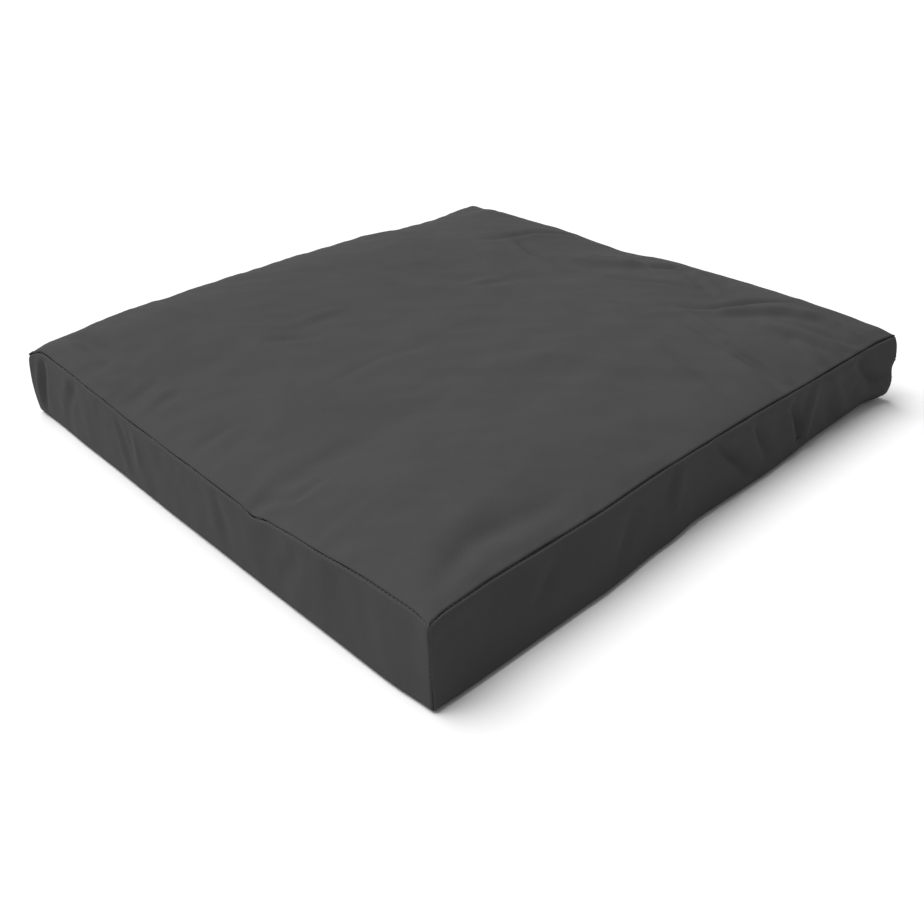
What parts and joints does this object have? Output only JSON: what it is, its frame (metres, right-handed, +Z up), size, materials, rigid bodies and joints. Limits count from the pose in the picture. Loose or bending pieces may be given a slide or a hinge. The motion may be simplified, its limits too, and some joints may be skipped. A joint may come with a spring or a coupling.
{
  "type": "kneeling pad",
  "caption": "Square boxed kneeling pad: a sewn cloth cover with a gently crowned top and a zip along its rear border, over a foam core.",
  "frame": {"origin": "centre of the bottom panel's resting face, on the ground", "axes": "+Z up, out of the kneeling side; +Y towards the zip in the rear border; +X to the right of someone facing the front"},
  "size_m": [0.4503, 0.4543, 0.064],
  "materials": {
    "cover_cloth": "matte charcoal-grey plain-woven polyester",
    "thread": "spun polyester sewing thread",
    "zip_tape": "woven polyester tape",
    "zip_coil": "black nylon monofilament",
    "zip_metal": "black painted zinc alloy",
    "foam": "open-cell polyurethane foam",
    "wadding": "bonded polyester wadding",
    "label_cloth": "blank woven satin ribbon"
  },
  "bodies": {
    "pad": {"top_panel": "cover_cloth", "bottom_panel": "cover_cloth", "front_border": "cover_cloth", "right_border": "cover_cloth", "left_border": "cover_cloth", "rear_border_upper": "cover_cloth", "rear_border_lower": "cover_cloth", "rear_end_panel_right": "cover_cloth", "rear_end_panel_left": "cover_cloth", "top_seam_thread": "thread", "bottom_seam_thread": "thread", "corner_seam_threads": "thread", "zip_tape_upper": "zip_tape", "zip_tape_lower": "zip_tape", "zip_coil_upper": "zip_coil", "zip_coil_lower": "zip_coil", "zip_top_stops": "zip_metal", "zip_bottom_stop": "zip_metal", "zip_stitches_upper": "thread", "zip_stitches_lower": "thread", "foam_core": "foam", "wadding_top": "wadding", "wadding_bottom": "wadding", "care_label": "label_cloth"},
    "slider": {"zip_slider": "zip_metal"},
    "puller": {"zip_puller": "zip_metal"}
  },
  "joints": [
    {"name": "zip_slide", "type": "slide", "parent": "pad", "child": "slider", "axis": [-1, 0, 0], "range_m": [0, 0.3715], "deforming": ["zip_tape_upper", "zip_tape_lower", "zip_coil_upper", "zip_coil_lower"]},
    {"name": "puller_swing", "type": "hinge", "parent": "slider", "child": "puller", "pos_m": [0.185, 0.2275, 0.025], "axis": [0, 0, -1], "range_deg": [0, 175]}
  ]
}
